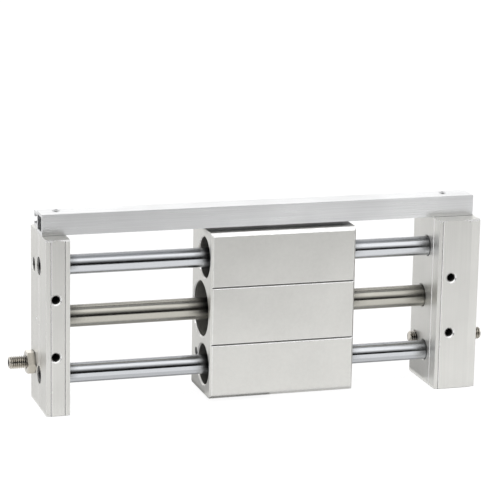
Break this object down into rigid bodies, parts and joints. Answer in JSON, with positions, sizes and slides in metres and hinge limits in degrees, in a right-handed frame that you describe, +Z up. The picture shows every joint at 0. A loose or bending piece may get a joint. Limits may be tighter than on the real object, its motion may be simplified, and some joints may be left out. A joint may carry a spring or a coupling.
{
  "type": "rodless pneumatic cylinder",
  "caption": "Magnetically coupled rodless air cylinder: a slide block runs on guide rods and a thin tube between end plates, with stroke adjusters and a switch rail on top.",
  "frame": {"origin": "centre of the four tapped mounting holes, on the front face of the two end plates", "axes": "+X along the travel towards the thick end plate, -Y out of the mounting face, +Z up with the part standing on the short ends of its plates"},
  "size_m": [0.305, 0.0465, 0.1205],
  "materials": {
    "anodised_aluminium": "satin clear anodised",
    "rail_aluminium": "bright drawn, fine lines along its length",
    "hard_chrome": "ground and hard chromed",
    "tube_steel": "polished stainless",
    "nickel_steel": "nickel plated",
    "black_steel": "black oxide",
    "seal_rubber": "matt black",
    "wear_polymer": "filled polymer",
    "bush_bronze": "sintered bronze",
    "magnet_nickel": "nickel coated magnet",
    "yoke_iron": "soft iron",
    "piston_aluminium": "turned"
  },
  "bodies": {
    "frame": {"left_plate": "anodised_aluminium", "right_plate": "anodised_aluminium", "cylinder_tube": "tube_steel", "upper_guide_rod": "hard_chrome", "lower_guide_rod": "hard_chrome", "switch_rail": "rail_aluminium", "rail_screws": "nickel_steel", "left_guide_screws": "black_steel", "right_guide_screws": "black_steel", "left_lock_nut": "nickel_steel", "right_lock_nut": "nickel_steel", "tube_orings": "seal_rubber", "end_bumpers": "seal_rubber", "passage_plugs": "black_steel"},
    "carriage": {"slide_block": "anodised_aluminium", "upper_bushings": "bush_bronze", "lower_bushings": "bush_bronze", "guide_seals": "seal_rubber", "stop_pads": "seal_rubber", "sensor_magnet": "magnet_nickel", "coupler_sleeve": "piston_aluminium", "coupler_magnets": "magnet_nickel", "coupler_yokes": "yoke_iron", "coupler_end_rings": "piston_aluminium", "coupler_wear_rings": "wear_polymer", "coupler_retaining_rings": "black_steel", "tube_scrapers": "seal_rubber"},
    "piston": {"piston_shaft": "tube_steel", "piston_magnets": "magnet_nickel", "piston_yokes": "yoke_iron", "left_piston": "piston_aluminium", "right_piston": "piston_aluminium", "piston_seals": "seal_rubber", "piston_wear_rings": "wear_polymer", "piston_nuts": "nickel_steel"},
    "left_adjuster": {"left_adjusting_screw": "nickel_steel"},
    "right_adjuster": {"right_adjusting_screw": "nickel_steel"}
  },
  "joints": [
    {"name": "carriage_slide", "type": "slide", "parent": "frame", "child": "carriage", "axis": [1, 0, 0], "range_m": [-0.0775, 0.0425]},
    {"name": "piston_slide", "type": "slide", "parent": "frame", "child": "piston", "axis": [1, 0, 0], "range_m": [-0.0775, 0.0425]},
    {"name": "left_adjuster_slide", "type": "slide", "parent": "frame", "child": "left_adjuster", "axis": [1, 0, 0], "range_m": [-0.005, 0.005]},
    {"name": "right_adjuster_slide", "type": "slide", "parent": "frame", "child": "right_adjuster", "axis": [-1, 0, 0], "range_m": [-0.005, 0.005]}
  ],
  "couplings": [
    {"joint": "piston_slide", "follows": "carriage_slide", "ratio": 1}
  ]
}
